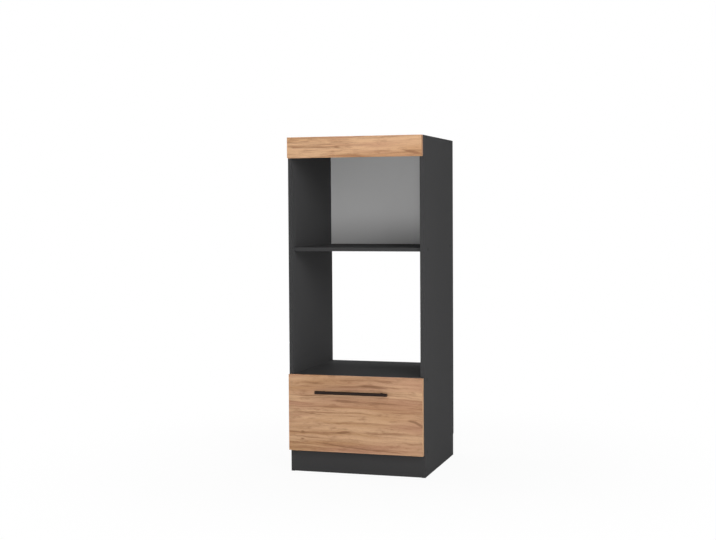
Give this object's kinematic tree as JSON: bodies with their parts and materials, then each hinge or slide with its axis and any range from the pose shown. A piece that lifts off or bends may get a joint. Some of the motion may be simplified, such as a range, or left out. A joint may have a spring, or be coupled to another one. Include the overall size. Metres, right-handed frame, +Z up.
{
  "type": "microwave cabinet",
  "caption": "Tall kitchen cabinet with a microwave niche over an open-backed oven niche and a wide drawer on roller runners.",
  "frame": {"origin": "middle of the footprint at floor level, taken over everything from the handle bar at the front to the rear edges of the side panels", "axes": "+Z up, -Y out of the front, +X to the right as seen from the front"},
  "size_m": [0.6008, 0.6125, 1.446],
  "materials": {
    "anthracite_board": "anthracite melamine-faced chipboard, matt",
    "oak_board": "golden oak wood-grain decor on chipboard, horizontal grain, matt",
    "grey_back_board": "thin hardboard, light grey lacquer on the inner face",
    "zinc_steel": "zinc-plated steel",
    "cap_foil": "anthracite self-adhesive screw cap",
    "beech": "raw beech dowel",
    "white_runner": "white epoxy-coated sheet steel",
    "nylon": "natural nylon",
    "black_handle": "matt black powder coat"
  },
  "bodies": {
    "carcass": {"left_side_panel": "anthracite_board", "right_side_panel": "anthracite_board", "top_panel": "anthracite_board", "microwave_shelf": "anthracite_board", "oven_shelf": "anthracite_board", "bottom_panel": "anthracite_board", "plinth_board": "anthracite_board", "fascia": "oak_board", "upper_back_panel": "grey_back_board", "lower_back_panel": "grey_back_board", "back_nails": "zinc_steel", "joint_screws": "zinc_steel", "screw_caps": "cap_foil", "dowels": "beech", "fascia_brackets": "zinc_steel", "fascia_bracket_screws": "zinc_steel", "wall_brackets": "zinc_steel", "wall_bracket_screws": "zinc_steel", "left_cabinet_runner": "white_runner", "right_cabinet_runner": "white_runner", "cabinet_runner_screws": "zinc_steel", "front_roller_pins": "zinc_steel"},
    "drawer": {"drawer_front": "oak_board", "drawer_inner_front": "anthracite_board", "drawer_left_side": "anthracite_board", "drawer_right_side": "anthracite_board", "drawer_back": "anthracite_board", "drawer_bottom": "grey_back_board", "left_drawer_runner": "white_runner", "right_drawer_runner": "white_runner", "drawer_runner_screws": "zinc_steel", "rear_roller_pins": "zinc_steel", "drawer_box_screws": "zinc_steel", "drawer_front_screws": "zinc_steel", "drawer_bottom_screws": "zinc_steel", "handle_bar": "black_handle", "handle_posts": "black_handle", "handle_screws": "zinc_steel"},
    "left_front_roller": {"left_front_roller": "nylon"},
    "right_front_roller": {"right_front_roller": "nylon"},
    "left_rear_roller": {"left_rear_roller": "nylon"},
    "right_rear_roller": {"right_rear_roller": "nylon"}
  },
  "joints": [
    {"name": "drawer_slide", "type": "slide", "parent": "carcass", "child": "drawer", "axis": [0, -1, 0], "range_m": [0, 0.375]},
    {"name": "left_front_roller_spin", "type": "hinge", "parent": "carcass", "child": "left_front_roller", "pos_m": [-0.2775, -0.23775, 0.151], "axis": [1, 0, 0], "range_deg": [0, 2262]},
    {"name": "right_front_roller_spin", "type": "hinge", "parent": "carcass", "child": "right_front_roller", "pos_m": [0.2775, -0.23775, 0.151], "axis": [1, 0, 0], "range_deg": [0, 2262]},
    {"name": "left_rear_roller_spin", "type": "hinge", "parent": "drawer", "child": "left_rear_roller", "pos_m": [-0.2775, 0.23275, 0.1478], "axis": [1, 0, 0], "range_deg": [0, 2262]},
    {"name": "right_rear_roller_spin", "type": "hinge", "parent": "drawer", "child": "right_rear_roller", "pos_m": [0.2775, 0.23275, 0.1478], "axis": [1, 0, 0], "range_deg": [0, 2262]}
  ],
  "couplings": [
    {"joint": "left_front_roller_spin", "follows": "drawer_slide", "rad_per_m": 105.26},
    {"joint": "right_front_roller_spin", "follows": "drawer_slide", "rad_per_m": 105.26},
    {"joint": "left_rear_roller_spin", "follows": "drawer_slide", "rad_per_m": 105.26},
    {"joint": "right_rear_roller_spin", "follows": "drawer_slide", "rad_per_m": 105.26}
  ]
}
